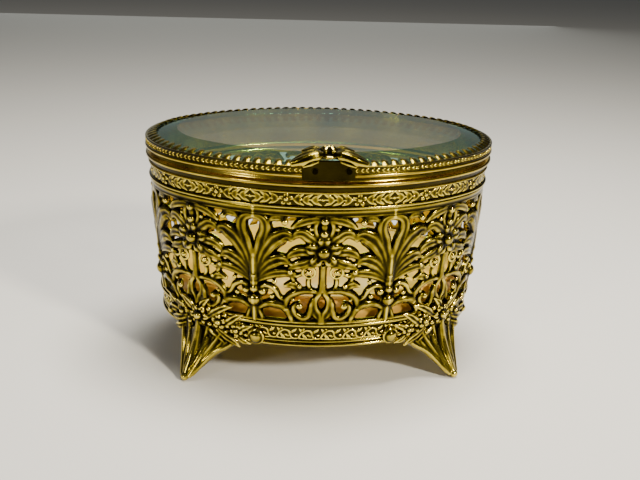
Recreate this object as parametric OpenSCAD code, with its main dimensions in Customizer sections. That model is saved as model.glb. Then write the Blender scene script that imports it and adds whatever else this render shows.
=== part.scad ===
// Oval gilt jewelry casket: a pierced metal wall on four feet, with a hinged glass lid.
// X runs along the box, the front faces -Y, and Z is up from the table.

/* [Oval] */
// Length of the lid over its rim bead
box_length = 133; // [124:1:160]
// Depth of the lid over its rim bead
box_depth = 100; // [96:1:110]
// Radius of the two rounded ends of the lid
end_radius = 40; // [36:0.5:42]
// How far the foot of the wall stands in from its head, on each side
flare = 4.3; // [2:0.1:6]

/* [Heights] */
// Height of the underside above the table
foot_height = 17; // [12:0.5:24]
// Height of the lower border band
lower_band_height = 9.5; // [7:0.5:13]
// Height of the pierced wall
wall_height = 44; // [34:1:56]
// Height of the laurel band
upper_band_height = 8; // [6:0.5:12]
// Height of the rim collar that the lid sits on
collar_height = 3.4; // [2.8:0.1:5]
// Height of the lid's band
lid_band_height = 4; // [3.4:0.1:6]

/* [Metal] */
// Thickness of the pierced wall
wall_thick = 0.8; // [0.6:0.1:1.2]
// Thickness of the border bands
band_thick = 1; // [0.8:0.1:1.5]
// Radius of the polished beads
bead_r = 0.8; // [0.5:0.1:1]
// Thickness of the base plate
plate_thick = 1.2; // [0.8:0.1:2]
// Number of times the bouquet and palmette repeat round the wall
repeats = 7; // [6:1:9]

/* [Lid] */
// Thickness of the glass at its middle
glass_thick = 4; // [3:0.1:5]
// Thickness of the glass at its bevelled edge
glass_edge = 1.7; // [1.2:0.1:2.4]
// Width of the bevel round the glass
bevel_width = 10; // [6:0.5:14]
// Number of prongs that hold the glass
prong_count = 96; // [60:2:110]
// How far the prongs lean in over the glass
prong_lean = 5; // [3:0.1:6]
// How far the prongs rise over the lid's band
prong_rise = 2.2; // [1.8:0.1:4]

/* [Cushion] */
// Height of the cushion
cushion_height = 18.5; // [8:0.5:24]
// Width of the cushion's rounded shoulder
cushion_shoulder = 5; // [4:0.5:12]
// Height of the cushion's rounded shoulder
cushion_crown = 3; // [3:0.5:7]
// Thickness of the board under the cushion
board_thick = 1.2; // [0.8:0.1:2]

/* [Hinge] */
// Length of the hinge
hinge_length = 24; // [18:1:32]
// Radius of the hinge's knuckles
knuckle_r = 1.5; // [1.3:0.1:1.8]
// Radius of the hinge pin
pin_r = 0.75; // [0.5:0.05:0.9]
// Distance of the hinge pin behind the lid's rim
pin_out = 1.9; // [1.9:0.1:2.6]

/* [Feet] */
// Distance of each leg from the middle of the front or back, along the wall
foot_place = 50; // [44:0.5:53]
// How far the toe stands out from the foot of the wall
toe_out = 10.9; // [7:0.1:13]
// How far the flower spray runs from each leg towards the middle of the side
spray_in = 23; // [16:0.5:28]
// How far the flower spray runs from each leg towards the end of the box
spray_out = 5; // [3:0.5:5.5]
// Radius of the foot screws
screw_r = 1; // [0.8:0.1:1.4]

/* [Thumb ornament] */
// Half the width of the ornament over its front leaves
ornament_half = 12.8; // [10:0.1:15]
// Height of the ornament's bud
bud_height = 4.5; // [3:0.1:6]
// Half the width of the strap
strap_half = 8.7; // [6:0.1:10]

/* [Hidden] */
$fn = 96;
eps = 0.01;

// small fits
fit_gap = 0.2;
bead_step = 20;
lid_gap = 0.1;
pin_gap = 0.05;
knuckle_gap = 0.2;
soft_gap = 0.9;

// colours
gilt = "#b5953a";
bright_gilt = "#d9b85a";
steel = "#8d8d88";
card = "#7a6248";
satin = "#ecd08c";
glass_tint = [0.62, 0.74, 0.72, 0.4];

// the four arcs of the oval
half_length = box_length / 2;
half_depth = box_depth / 2;
end_centre = half_length - end_radius;
side_lift = half_depth - end_radius;
side_centre = (pow(end_centre, 2) - pow(side_lift, 2)) / (2 * side_lift);
side_radius = half_depth + side_centre;
side_angle = atan2(end_centre, side_centre);
end_angle = 90 - side_angle;

// sectors of the plan that the side arcs and the end arcs fill, past the outline by a box depth
sector_x = end_centre * (1 + box_depth / side_centre);
side_sector = [[-end_centre, 0], [end_centre, 0], [sector_x, -box_depth], [-sector_x, -box_depth]];
end_sector = [[end_centre, 0], [sector_x, -box_depth], [sector_x, box_depth]];

// levels
wall_foot = foot_height + lower_band_height;
wall_head = wall_foot + wall_height;
collar_foot = wall_head + upper_band_height;
collar_head = collar_foot + collar_height;
lid_foot = collar_head + lid_gap;
lid_head = lid_foot + lid_band_height;

// the rim and the lid
rim_inset = 1.2;
neck_inset = 2.2;
lip = 1;
lid_bead_r = 0.7;
gallery_thick = 0.7;
gallery_inset = 0.2;
frame_inset = gallery_inset + gallery_thick;
frame_thick = 1;
seat_width = 2.5;
seat_thick = 1;
seat_up = 1.2;
glass_inset = frame_inset + frame_thick + fit_gap;
glass_foot = lid_foot + seat_up + seat_thick;
prong_thick = 0.6;
notch_r = 1.1;

// the base
flange_width = 2;
flange_thick = 0.8;
plate_foot = foot_height + flange_thick;
plate_inset = -skin(plate_foot) + band_thick + fit_gap;
board_foot = plate_foot + plate_thick;
cushion_foot = board_foot + board_thick;
cushion_inset = -skin(cushion_foot) + band_thick + soft_gap;

// the legs
tab_thick = 1.6;
tab_width = 8;
screw_in = 6;
screw_place = skin(foot_height) - band_thick - flange_width - screw_in + 3;
screw_head_r = 2;
screw_head = 0.9;
nut_r = 2.4;
toe_r = 2.2;
toe_thick = 1.5;
spray_thick = 1.1;
spray_rise = 6;
spray_drop = 2.5;
leg_sides = 32;

// the hinge, the strap and their rivets
pin_y = half_depth + pin_out;
pin_z = lid_foot;
leaf_out = 1;
leaf_clear = 1.6;
knuckles = 5;
knuckle_length = hinge_length / knuckles - knuckle_gap;
back_reach = pin_out + knuckle_r;
rivet_r = 0.7;
rivet_head_r = 1;
rivet_head = 0.4;
strap_thick = 0.8;
strap_drop = 0.6;
ornament_foot = lid_head + prong_rise + fit_gap;
ornament_thick = 1.8;
leaf_r = 2.6;
bud_r = 2.7;

// sheet windows of one repeat: place across it, height up the wall, width, height
windows = [
    [0.09, 0.84, 3.0, 4.4], [0.2, 0.8, 3.2, 3.6], [0.275, 0.64, 5.4, 4.6], [0.27, 0.47, 5.0, 3.0],
    [0.15, 0.22, 4.2, 5.0], [0.36, 0.41, 3.0, 4.4], [0.3, 0.24, 3.0, 3.8], [0.37, 0.07, 4.6, 2.6]
];
palmette_window = [0.5, 0.83, 4.2, 4.6];

// the outer half of a bead's round section, upwards from one angle to another, for an outline
function bead_arc(off, z, r, from, to) =
    [for (a = [from : bead_step : to]) [off + r * cos(a), z + r * sin(a)]];

// outer face of the wall at height z, as an offset from the lid's outline
function skin(z) = -rim_inset - flare * (collar_foot - z) / (collar_foot - foot_height);

// lengths of the oval's arcs along the middle of the wall
wall_ref = -3.2;
side_half = (side_radius + wall_ref) * side_angle * PI / 180;
end_full = (end_radius + wall_ref) * 2 * end_angle * PI / 180;
round_trip = 4 * side_half + 2 * end_full;

function in_round(s) = s - round_trip * floor(s / round_trip);
function side_turn(s) = s / (side_radius + wall_ref) * 180 / PI;
function end_turn(s) = s / (end_radius + wall_ref) * 180 / PI;

// centre x, centre y, radius and heading at the distance s along the wall from the front's middle
function arc_at(s) =
    let (t = in_round(s))
    t < side_half ? [0, side_centre, side_radius, -90 + side_turn(t)]
    : t < side_half + end_full ? [end_centre, 0, end_radius, side_angle - 90 + end_turn(t - side_half)]
    : t < 3 * side_half + end_full
        ? [0, -side_centre, side_radius, end_angle + side_turn(t - side_half - end_full)]
    : t < 3 * side_half + 2 * end_full
        ? [-end_centre, 0, end_radius, 90 + side_angle + end_turn(t - 3 * side_half - end_full)]
    : [0, side_centre, side_radius, -90 - side_angle + side_turn(t - 3 * side_half - 2 * end_full)];

// children stand at the distance s along the wall, with +X outwards and Z up
module at_arc(s, off, z) {
    arc = arc_at(s);
    translate([arc[0], arc[1], z])
        rotate(arc[3])
            translate([arc[2] + off, 0, 0])
                children();
}

// keeps what lies in one of the four sectors that the oval's arcs fill
module sector(outline) {
    intersection() {
        children();
        translate([0, 0, -1])
            linear_extrude(lid_head + prong_rise + 2)
                polygon(outline);
    }
}

// sweeps a side outline and an end outline of offsets and heights round the whole oval
module oval_sweep(side_outline, end_outline) {
    for (turn = [0, 180]) {
        rotate(turn)
            sector(side_sector)
                translate([0, side_centre, 0])
                    rotate_extrude()
                        translate([side_radius, 0])
                            polygon(side_outline);
        rotate(turn)
            sector(end_sector)
                translate([end_centre, 0, 0])
                    rotate_extrude()
                        translate([end_radius, 0])
                            polygon(end_outline);
    }
}

// a ring round the oval, from an outline of offsets and heights
module oval_ring(outline) {
    oval_sweep(outline, outline);
}

// a solid oval, from its edge's offsets and heights, listed upwards
module oval_solid(edge) {
    low = edge[0][1];
    high = edge[len(edge) - 1][1];
    side_inner = -half_depth - 1;
    end_inner = -end_radius;
    oval_sweep(
        concat([[side_inner, low]], edge, [[side_inner, high]]),
        concat([[end_inner, low]], edge, [[end_inner, high]])
    );
}

// sweeps an outline along the front side only, between two distances from its middle
module front_sweep(from, to) {
    translate([0, side_centre, 0])
        rotate_extrude(start = -90 + side_turn(from), angle = side_turn(to - from))
            translate([side_radius, 0])
                children();
}

// a window with round ends, cut along X
module window(width, height) {
    r = min(width, height) / 2;
    x_room = (width - 2 * r) / 2;
    z_room = (height - 2 * r) / 2;
    for (end = [-1, 1])
        translate([0, end * x_room, end * z_room])
            rotate([0, 90, 0])
                cylinder(r = r, h = 6, center = true);
    cube([6, max(2 * x_room, z_room > 0 ? 2 * r : 0), max(2 * z_room, x_room > 0 ? 2 * r : 0)], center = true);
}

module filigree_wall() {
    pitch = round_trip / repeats;
    color(gilt)
        difference() {
            oval_ring([
                [skin(wall_foot) - wall_thick, wall_foot], [skin(wall_foot), wall_foot],
                [skin(wall_head), wall_head], [skin(wall_head) - wall_thick, wall_head]
            ]);
            for (turn = [0 : repeats - 1]) {
                for (w = windows, side = [-1, 1])
                    at_arc((turn + side * w[0]) * pitch, wall_ref, wall_foot + w[1] * wall_height)
                        window(w[2], w[3]);
                at_arc((turn + palmette_window[0]) * pitch, wall_ref, wall_foot + palmette_window[1] * wall_height)
                    window(palmette_window[2], palmette_window[3]);
            }
        }
}

module upper_band() {
    line_r = bead_r * 0.6;
    color(gilt)
        difference() {
            oval_ring(concat(
                [[skin(wall_head) - band_thick, wall_head]],
                bead_arc(skin(wall_head + line_r), wall_head + line_r, line_r, -90, 70),
                [
                    [skin(wall_head + 2 * line_r), wall_head + 2 * line_r], [skin(collar_foot), collar_foot],
                    [skin(collar_foot) - band_thick, collar_foot]
                ]
            ));
            hinge_rivet_shanks(body_rivet_x(), body_rivet_z());
        }
}

module lower_band() {
    inner = skin(foot_height) - band_thick;
    color(gilt)
        oval_ring(concat(
            [[inner - flange_width, foot_height]],
            bead_arc(skin(foot_height + bead_r), foot_height + bead_r, bead_r, -90, 70),
            [
                [skin(foot_height + 2 * bead_r), foot_height + 2 * bead_r],
                [skin(wall_foot - 2 * bead_r), wall_foot - 2 * bead_r]
            ],
            bead_arc(skin(wall_foot - bead_r), wall_foot - bead_r, bead_r, -70, 90),
            [
                [skin(wall_foot) - band_thick, wall_foot], [skin(plate_foot) - band_thick, plate_foot],
                [inner - flange_width, plate_foot]
            ]
        ));
}

module rim_collar() {
    bead_top = collar_foot + 2 * bead_r;
    bead_at = -rim_inset + gallery_inset;
    color(bright_gilt)
        oval_ring(concat(
            [[-neck_inset - lip, collar_foot]],
            bead_arc(bead_at, collar_foot + bead_r, bead_r, -90, 90),
            [[-neck_inset, bead_top], [-neck_inset, collar_head], [-neck_inset - lip, collar_head]]
        ));
}

module base_plate() {
    color(gilt)
        difference() {
            oval_solid([[-plate_inset, plate_foot], [-plate_inset, board_foot]]);
            each_foot()
                screw_shank(screw_r);
        }
}

// children are drawn for one leg: the one at the front right, then its mirror images
module each_foot() {
    for (x = [0, 1], y = [0, 1])
        mirror([x, 0, 0])
            mirror([0, y, 0])
                children();
}

module screw_shank(r) {
    at_arc(foot_place, screw_place, foot_height - tab_thick - eps)
        cylinder(r = r, h = cushion_foot - foot_height + tab_thick + 2 * eps);
}

module leg_slice(out, z, r, h) {
    at_arc(foot_place, skin(foot_height) + out, z)
        cylinder(r = r, h = h, $fn = leg_sides);
}

// one leg with its spray, as the one at the front right
module foot() {
    knee_z = foot_height * 0.94;
    ankle_z = foot_height * 0.35;
    knee_out = 2.4;
    ankle_out = toe_out * 0.55;
    spray_from = skin(foot_height - spray_drop) + bead_r;
    spray_to = skin(wall_foot + spray_rise) + bead_r;
    color(gilt)
        difference() {
            union() {
                hull() {
                    leg_slice(knee_out, knee_z, 3.6, 1);
                    leg_slice(ankle_out, ankle_z, 2, 1);
                }
                hull() {
                    leg_slice(ankle_out, ankle_z, 2, 1);
                    leg_slice(toe_out, toe_thick - eps, toe_r * 0.9, eps);
                }
                at_arc(foot_place, skin(foot_height) + toe_out, 0)
                    cylinder(r = toe_r, h = toe_thick);
                intersection() {
                    front_sweep(foot_place - spray_in, foot_place + spray_out)
                        polygon([
                            [spray_from, foot_height - spray_drop], [spray_from + spray_thick, foot_height - spray_drop],
                            [spray_to + spray_thick, wall_foot + spray_rise], [spray_to, wall_foot + spray_rise]
                        ]);
                    translate([0, -box_depth, 0])
                        cube([half_length, box_depth, wall_head]);
                }
                tab();
            }
            screw_shank(screw_r);
        }
}

// the tongue under the base plate that the screw goes through
module tab() {
    inner = screw_place - 3;
    outer = skin(foot_height) + 2.4;
    at_arc(foot_place, inner, foot_height - tab_thick)
        translate([0, -tab_width / 2, 0])
            cube([outer - inner, tab_width, tab_thick]);
}

module foot_front_right() {
    foot();
}

module foot_front_left() {
    mirror([1, 0, 0])
        foot();
}

module foot_rear_right() {
    mirror([0, 1, 0])
        foot();
}

module foot_rear_left() {
    mirror([1, 0, 0])
        mirror([0, 1, 0])
            foot();
}

module foot_screws() {
    color(steel)
        each_foot() {
            at_arc(foot_place, screw_place, foot_height - tab_thick - screw_head)
                cylinder(r = screw_head_r, h = screw_head);
            at_arc(foot_place, screw_place, foot_height - tab_thick)
                cylinder(r = screw_r, h = cushion_foot - foot_height + tab_thick);
        }
}

module foot_nuts() {
    color(steel)
        each_foot()
            difference() {
                at_arc(foot_place, screw_place, board_foot)
                    cylinder(r = nut_r, h = board_thick, $fn = 6);
                screw_shank(screw_r);
            }
}

module cushion_board() {
    color(card)
        difference() {
            oval_solid([[-cushion_inset, board_foot], [-cushion_inset, cushion_foot]]);
            each_foot()
                screw_shank(nut_r + fit_gap);
        }
}

module cushion() {
    color(satin)
        oval_solid([
            [-cushion_inset, cushion_foot], [-cushion_inset, cushion_foot + cushion_height - cushion_crown],
            [-cushion_inset - cushion_shoulder, cushion_foot + cushion_height]
        ]);
}

module lid_frame() {
    inner = -frame_inset - frame_thick;
    seat_foot = glass_foot - seat_thick;
    color(bright_gilt)
        difference() {
            oval_ring(concat(
                [[inner, lid_foot]],
                bead_arc(-lid_bead_r, lid_foot + lid_bead_r, lid_bead_r, -90, 90),
                [
                    [-frame_inset, lid_foot + 2 * lid_bead_r], [-frame_inset, lid_head], [inner, lid_head],
                    [inner, glass_foot], [inner - seat_width, glass_foot], [inner - seat_width, seat_foot],
                    [inner, seat_foot]
                ]
            ));
            strap_rivet_shanks();
            hinge_rivet_shanks(lid_rivet_x(), lid_rivet_z());
        }
}

module lid_gallery() {
    band_foot = lid_foot + 2 * lid_bead_r;
    tip = -gallery_inset - prong_lean;
    pitch = round_trip / prong_count;
    color(gilt)
        difference() {
            oval_ring([
                [-frame_inset, band_foot], [-gallery_inset, band_foot], [-gallery_inset, lid_head],
                [tip, lid_head + prong_rise], [tip, lid_head + prong_rise - prong_thick], [-frame_inset, lid_head]
            ]);
            for (i = [0 : prong_count - 1])
                at_arc((i + 0.5) * pitch, tip + 0.4 * notch_r, lid_head)
                    cylinder(r = notch_r, h = prong_rise + 1, $fn = 24);
            strap_rivet_shanks();
            hinge_rivet_shanks(lid_rivet_x(), lid_rivet_z());
        }
}

module lid_glass() {
    color(glass_tint)
        oval_solid([
            [-glass_inset, glass_foot], [-glass_inset, glass_foot + glass_edge],
            [-glass_inset - bevel_width, glass_foot + glass_thick]
        ]);
}

// rivets run along Y
module rivet_shank(x, y, z, length) {
    translate([x, y, z])
        rotate([90, 0, 0])
            cylinder(r = rivet_r, h = length, center = true);
}

// body rivets stand between the knuckles' webs, lid rivets over the end knuckles, which have no web on the lid
function body_rivet_x() = hinge_length / 4;
function lid_rivet_x() = (hinge_length - knuckle_length - knuckle_gap) / 2;
function body_rivet_z() = wall_head + upper_band_height / 2;
function lid_rivet_z() = lid_foot + 2 * lid_bead_r + (lid_band_height - 2 * lid_bead_r) / 2;
function strap_rivet_x() = strap_half - 3;

module hinge_rivet_shanks(x, z) {
    for (side = [-1, 1])
        rivet_shank(side * x, half_depth, z, 8);
}

module strap_rivet_shanks() {
    for (side = [-1, 1])
        rivet_shank(side * strap_rivet_x(), -half_depth, lid_rivet_z(), 8);
}

module thumb_strap() {
    color(gilt)
        difference() {
            front_sweep(-strap_half, strap_half)
                polygon([
                    [0, lid_foot - strap_drop], [strap_thick, lid_foot - strap_drop],
                    [strap_thick, ornament_foot], [0, ornament_foot]
                ]);
            strap_rivet_shanks();
        }
}

module thumb_ornament() {
    front_y = -half_depth - back_reach + leaf_r;
    middle_y = front_y + 3.4;
    back_y = front_y + 6.4;
    color(gilt)
        translate([0, 0, ornament_foot]) {
            translate([0, middle_y, 0])
                cylinder(r = 4.4, h = ornament_thick);
            translate([0, middle_y, bud_height - bud_r])
                sphere(r = bud_r);
            for (side = [-1, 1]) {
                ornament_leaf([side * (ornament_half - leaf_r), front_y], middle_y);
                ornament_leaf([side * (ornament_half - 2 * leaf_r), back_y], middle_y);
            }
        }
}

module ornament_leaf(tip, root_y) {
    hull() {
        translate([tip[0], tip[1], 0])
            cylinder(r = leaf_r, h = ornament_thick, $fn = leg_sides);
        translate([sign(tip[0]) * 2, root_y, 0])
            cylinder(r = 1.6, h = ornament_thick, $fn = leg_sides);
    }
}

module thumb_rivets() {
    inner_y = half_depth - frame_inset - frame_thick;
    outer_y = half_depth + strap_thick;
    color(bright_gilt)
        for (side = [-1, 1])
            intersection() {
                union() {
                    rivet_shank(side * strap_rivet_x(), -half_depth, lid_rivet_z(), 8);
                    translate([side * strap_rivet_x(), -outer_y, lid_rivet_z()])
                        rotate([90, 0, 0])
                            cylinder(r = rivet_head_r, h = rivet_head);
                }
                translate([-half_length, -outer_y - rivet_head, lid_foot])
                    cube([box_length, outer_y + rivet_head - inner_y, lid_band_height]);
            }
}

// a knuckle round the hinge pin with the web that ties it to its leaf
module knuckle(i, web_foot, web_height, bore) {
    x = -hinge_length / 2 + knuckle_gap / 2 + i * (knuckle_length + knuckle_gap);
    web_y = half_depth - 0.1;
    difference() {
        union() {
            translate([x, pin_y, pin_z])
                rotate([0, 90, 0])
                    cylinder(r = knuckle_r, h = knuckle_length);
            translate([x, web_y, web_foot])
                cube([knuckle_length, pin_y - web_y, web_height]);
        }
        translate([x - 1, pin_y, pin_z])
            rotate([0, 90, 0])
                cylinder(r = bore, h = knuckle_length + 2);
    }
}

// a hinge leaf that hugs the back of the oval, from an outline of offsets and heights
module hinge_leaf() {
    mirror([0, 1, 0])
        front_sweep(-hinge_length / 2, hinge_length / 2)
            children();
}

module hinge_body_leaf() {
    top = pin_z - leaf_clear;
    foot = wall_head + 1.5;
    color(gilt)
        difference() {
            union() {
                hinge_leaf()
                    polygon([
                        [skin(foot), foot], [leaf_out, foot], [leaf_out, top], [-gallery_inset, top],
                        [-gallery_inset, collar_foot], [skin(collar_foot), collar_foot]
                    ]);
                for (i = [0 : 2 : knuckles - 1])
                    knuckle(i, top - 1.5, leaf_clear + 1.5, pin_r);
            }
            hinge_rivet_shanks(body_rivet_x(), body_rivet_z());
        }
}

module hinge_lid_leaf() {
    foot = pin_z + leaf_clear;
    color(gilt)
        difference() {
            union() {
                hinge_leaf()
                    polygon([
                        [-gallery_inset, foot], [leaf_out, foot], [leaf_out, lid_head], [-gallery_inset, lid_head]
                    ]);
                for (i = [1 : 2 : knuckles - 1])
                    knuckle(i, pin_z, leaf_clear + 1.5, pin_r + pin_gap);
            }
            hinge_rivet_shanks(lid_rivet_x(), lid_rivet_z());
        }
}

module hinge_pin() {
    color(steel)
        translate([-hinge_length / 2 + knuckle_gap / 2, pin_y, pin_z])
            rotate([0, 90, 0])
                cylinder(r = pin_r, h = hinge_length - knuckle_gap);
}

// two rivets through a leaf, cut to the faces that they clamp
module hinge_rivets(x, z, inner_off) {
    outer_y = half_depth + leaf_out;
    color(bright_gilt)
        for (side = [-1, 1])
            intersection() {
                union() {
                    rivet_shank(side * x, half_depth, z, 8);
                    translate([side * x, outer_y + rivet_head, z])
                        rotate([90, 0, 0])
                            cylinder(r = rivet_head_r, h = rivet_head);
                }
                translate([-half_length, half_depth + inner_off, z - 3])
                    cube([box_length, outer_y + rivet_head - half_depth - inner_off, 6]);
            }
}

module hinge_body_rivets() {
    hinge_rivets(body_rivet_x(), body_rivet_z(), skin(body_rivet_z()) - band_thick);
}

module hinge_lid_rivets() {
    hinge_rivets(lid_rivet_x(), lid_rivet_z(), -frame_inset - frame_thick);
}

filigree_wall();
upper_band();
lower_band();
rim_collar();
base_plate();
foot_front_left();
foot_front_right();
foot_rear_left();
foot_rear_right();
foot_screws();
foot_nuts();
cushion_board();
cushion();
lid_frame();
lid_gallery();
lid_glass();
thumb_strap();
thumb_ornament();
thumb_rivets();
hinge_body_leaf();
hinge_lid_leaf();
hinge_pin();
hinge_body_rivets();
hinge_lid_rivets();
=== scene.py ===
import math
import bpy
import numpy as np
from mathutils import Matrix, Vector


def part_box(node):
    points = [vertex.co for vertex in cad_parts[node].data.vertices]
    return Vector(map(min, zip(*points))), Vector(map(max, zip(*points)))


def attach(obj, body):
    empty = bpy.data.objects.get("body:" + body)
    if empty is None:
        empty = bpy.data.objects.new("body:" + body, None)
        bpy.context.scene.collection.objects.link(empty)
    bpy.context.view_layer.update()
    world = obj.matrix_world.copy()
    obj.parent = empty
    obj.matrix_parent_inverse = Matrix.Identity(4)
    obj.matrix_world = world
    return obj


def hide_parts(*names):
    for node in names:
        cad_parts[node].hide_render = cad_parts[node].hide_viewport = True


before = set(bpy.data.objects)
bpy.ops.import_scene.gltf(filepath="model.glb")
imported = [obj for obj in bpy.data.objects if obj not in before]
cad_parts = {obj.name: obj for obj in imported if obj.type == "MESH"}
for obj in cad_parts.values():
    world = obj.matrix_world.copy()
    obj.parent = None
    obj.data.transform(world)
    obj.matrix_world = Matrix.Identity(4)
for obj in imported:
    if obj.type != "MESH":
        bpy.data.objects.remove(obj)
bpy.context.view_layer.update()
mm = 0.001
print("frame loaded")

# small helpers


def linear(hexText):  # sRGB hex to linear colour
    parts = [int(hexText[i:i + 2], 16) / 255 for i in (1, 3, 5)]
    return [c / 12.92 if c <= 0.04045 else ((c + 0.055) / 1.055) ** 2.4 for c in parts] + [1.0]


def addNode(tree, kind, settings=None, links=None):  # one node with its settings and links
    node = tree.nodes.new(kind)
    for key, value in (settings or {}).items():
        if isinstance(key, int) or key in node.inputs:
            node.inputs[key].default_value = value
        else:
            setattr(node, key, value)
    for key, source in (links or {}).items():
        tree.links.new(source, node.inputs[key])
    return node


def clearSelection():
    if bpy.context.object and bpy.context.object.mode != "OBJECT":
        bpy.ops.object.mode_set(mode="OBJECT")
    bpy.ops.object.select_all(action="DESELECT")


def pick(obj):
    clearSelection()
    obj.select_set(True)
    bpy.context.view_layer.objects.active = obj


def getPoints(obj):
    points = np.zeros(len(obj.data.vertices) * 3, np.float32)
    obj.data.vertices.foreach_get("co", points)
    return points.reshape(-1, 3).astype(float)


def setPoints(obj, points):
    obj.data.vertices.foreach_set("co", np.asarray(points, np.float32).ravel())
    obj.data.update()


def copyOf(obj, name):
    twin = obj.copy()
    twin.data = obj.data.copy()
    twin.name = name
    bpy.context.scene.collection.objects.link(twin)
    return twin


def joinAll(objs, name):
    clearSelection()
    for o in objs:
        o.select_set(True)
    bpy.context.view_layer.objects.active = objs[0]
    if len(objs) > 1:
        bpy.ops.object.join()
    objs[0].name = name
    return objs[0]


def applyModifier(obj, kind, **settings):
    pick(obj)
    modifier = obj.modifiers.new(kind.title(), kind)
    for key, value in settings.items():
        setattr(modifier, key, value)
    bpy.ops.object.modifier_apply(modifier=modifier.name)


def closeUp(obj, distance, outward=True):  # merge doubles, then turn faces outwards
    pick(obj)
    bpy.ops.object.mode_set(mode="EDIT")
    bpy.ops.mesh.select_all(action="SELECT")
    if distance:
        bpy.ops.mesh.remove_doubles(threshold=distance)
    if outward:
        bpy.ops.mesh.normals_make_consistent(inside=False)
    bpy.ops.object.mode_set(mode="OBJECT")


def freeze(parts):  # puts their place, turn and scale into their meshes
    for part in parts:
        pick(part)
        bpy.ops.object.transform_apply(location=True, rotation=True, scale=True)


def flatGrid(name, cuts):  # unit square in the x-y plane, cut into small faces
    clearSelection()
    bpy.ops.mesh.primitive_plane_add(size=1, location=(0, 0, 0))
    grid = bpy.context.object
    grid.name = name
    bpy.ops.object.mode_set(mode="EDIT")
    bpy.ops.mesh.select_all(action="SELECT")
    bpy.ops.mesh.subdivide(number_cuts=cuts)
    bpy.ops.object.mode_set(mode="OBJECT")
    return grid


def smoothShade(obj, degrees=50):
    pick(obj)
    bpy.ops.object.shade_smooth_by_angle(angle=math.radians(degrees))


def place(obj, material, body, nodes=()):  # finish a piece: its material, its body, and hiding the parts it replaces
    obj.data.materials.clear()
    obj.data.materials.append(material)
    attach(obj, body)
    if nodes:
        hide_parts(*nodes)
    return obj


# the oval that everything follows, in millimetres: two long arcs and two end arcs that meet smoothly

oval = {"halfLength": 66.5, "halfDepth": 50.0, "endRadius": 40.0, "runAt": -3.2}
slack = oval["halfDepth"] - oval["endRadius"]
oval["endCentre"] = oval["halfLength"] - oval["endRadius"]
oval["sideCentre"] = (oval["endCentre"] ** 2 - slack ** 2) / (2 * slack)
oval["sideRadius"] = oval["sideCentre"] + oval["halfDepth"]
sideAngle = math.atan2(oval["endCentre"], oval["sideCentre"])
sideRun = 2 * sideAngle * (oval["sideRadius"] + oval["runAt"])
endRun = (math.pi - 2 * sideAngle) * (oval["endRadius"] + oval["runAt"])
roundTrip = 2 * (sideRun + endRun)
levels = {
    "foot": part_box("lower_band")[0].z / mm, "wall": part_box("filigree_wall")[0].z / mm,
    "band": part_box("upper_band")[0].z / mm, "collar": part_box("rim_collar")[0].z / mm,
    "lid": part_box("lid_frame")[0].z / mm}


def skin(z):  # offset of the flared wall's face at a height
    return -1.2 - 4.3 * (levels["collar"] - z) / (levels["collar"] - levels["foot"])


def onOval(run, off, z):  # run from the front middle towards the right, offset outwards, height
    run = np.mod(np.asarray(run, float) + sideRun / 2, roundTrip)
    marks = [sideRun, sideRun + endRun, 2 * sideRun + endRun]
    longR, shortR = oval["sideRadius"] + oval["runAt"], oval["endRadius"] + oval["runAt"]
    inArc = [run < marks[0], run < marks[1], run < marks[2], run >= marks[2]]
    turn = np.select(inArc, [
        run / longR - sideAngle, sideAngle + (run - marks[0]) / shortR,
        math.pi - sideAngle + (run - marks[1]) / longR, math.pi + sideAngle + (run - marks[2]) / shortR])
    midX = np.select(inArc, [0 * run, 0 * run + oval["endCentre"], 0 * run, 0 * run - oval["endCentre"]])
    midY = np.select(inArc, [0 * run + oval["sideCentre"], 0 * run, 0 * run - oval["sideCentre"], 0 * run])
    radius = np.select(inArc, [
        0 * run + oval["sideRadius"], 0 * run + oval["endRadius"],
        0 * run + oval["sideRadius"], 0 * run + oval["endRadius"]]) + off
    return np.stack([midX + radius * np.sin(turn), midY - radius * np.cos(turn), z + 0 * run], 1)


# flat piece (x along, y up, z out) laid on the wall's skin
def wrapOn(obj, run, base=0.0, flip=1, height=0.0):
    p = getPoints(obj)
    z = p[:, 1] + height
    setPoints(obj, onOval(run + flip * p[:, 0], skin(z) + base + p[:, 2], z) * mm)
    if flip < 0:
        pick(obj)
        bpy.ops.object.mode_set(mode="EDIT")
        bpy.ops.mesh.select_all(action="SELECT")
        bpy.ops.mesh.flip_normals()
        bpy.ops.object.mode_set(mode="OBJECT")


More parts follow.
